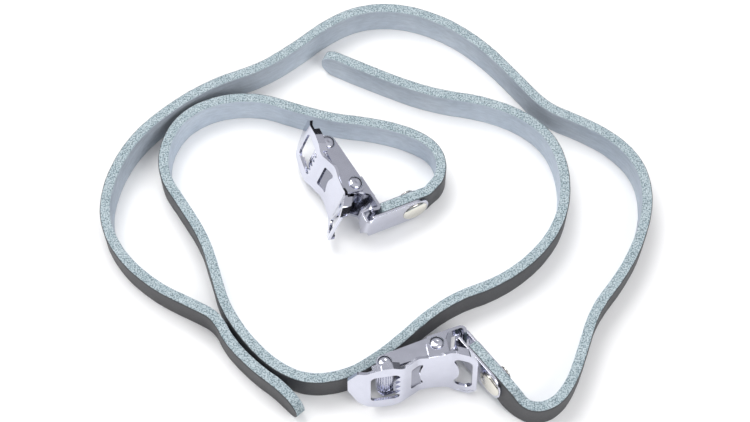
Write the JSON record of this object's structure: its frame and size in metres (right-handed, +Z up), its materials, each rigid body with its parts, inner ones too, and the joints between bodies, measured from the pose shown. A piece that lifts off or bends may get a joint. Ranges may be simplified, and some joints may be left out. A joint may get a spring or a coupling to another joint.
{
  "type": "toe clip strap pair",
  "caption": "Pair of black leather pedal straps standing on edge in loose interlaced loops, each with a plated quick-release buckle: sprung lever, fluted roller, frame and riveted clasp.",
  "frame": {"origin": "middle of the whole layout's box, on the surface that the straps stand on", "axes": "+X to the right of the layout, +Y away from the side that the long buckle faces, +Z up along the straps' width"},
  "size_m": [0.1567, 0.1291, 0.0197],
  "materials": {
    "strap_leather": "matt grain face, pale grey-blue flesh side and cut edges",
    "plated_sheet": "bright plated sheet steel",
    "plated_roller": "bright plated, fluted",
    "plated_pin": "bright plated, domed ends",
    "rivet_metal": "warm nickel plate",
    "spring_wire": "drawn wire"
  },
  "bodies": {
    "strap_a": {"leather_strap_a": "strap_leather", "strap_clasp_a": "plated_sheet", "strap_rivet_a": "rivet_metal", "rivet_washer_a": "plated_sheet"},
    "frame_a": {"buckle_frame_a": "plated_sheet", "roller_pin_a": "plated_pin", "pivot_pin_a": "plated_pin", "lever_spring_a": "spring_wire"},
    "lever_a": {"buckle_lever_a": "plated_sheet"},
    "roller_a": {"fluted_roller_a": "plated_roller"},
    "strap_b": {"leather_strap_b": "strap_leather", "strap_clasp_b": "plated_sheet", "strap_rivet_b": "rivet_metal", "rivet_washer_b": "plated_sheet"},
    "frame_b": {"buckle_frame_b": "plated_sheet", "roller_pin_b": "plated_pin", "pivot_pin_b": "plated_pin", "lever_spring_b": "spring_wire"},
    "lever_b": {"buckle_lever_b": "plated_sheet"},
    "roller_b": {"fluted_roller_b": "plated_roller"}
  },
  "joints": [
    {"name": "strap_b_lift", "type": "slide", "parent": "strap_a", "child": "strap_b", "axis": [0, 0, 1], "range_m": [0, 0.03]},
    {"name": "buckle_swing_a", "type": "hinge", "parent": "strap_a", "child": "frame_a", "pos_m": [0.02407, -0.04356, 0.00695], "axis": [0, 0.2501, 0.9682], "range_deg": [0, 2]},
    {"name": "lever_press_a", "type": "hinge", "parent": "frame_a", "child": "lever_a", "pos_m": [0.0162, -0.0484, 0.0082], "axis": [0, 0.2501, 0.9682], "range_deg": [0, 2], "stiffness_Nm_per_rad": 0.04, "springref_deg": -20.05},
    {"name": "roller_spin_a", "type": "hinge", "parent": "frame_a", "child": "roller_a", "pos_m": [0.00215, -0.05387, 0.00961], "axis": [0, 0.2501, 0.9682], "continuous": true},
    {"name": "buckle_swing_b", "type": "hinge", "parent": "strap_b", "child": "frame_b", "pos_m": [-0.00204, -0.00664, 0.00815], "axis": [0.308, 0.1192, 0.9439], "range_deg": [0, 120]},
    {"name": "lever_press_b", "type": "hinge", "parent": "frame_b", "child": "lever_b", "pos_m": [-0.008, 0.00045, 0.0092], "axis": [0.308, 0.1192, 0.9439], "range_deg": [0, 24], "stiffness_Nm_per_rad": 0.04, "springref_deg": -20.05},
    {"name": "roller_spin_b", "type": "hinge", "parent": "frame_b", "child": "roller_b", "pos_m": [-0.01557, 0.01354, 0.01002], "axis": [0.308, 0.1192, 0.9439], "continuous": true}
  ]
}
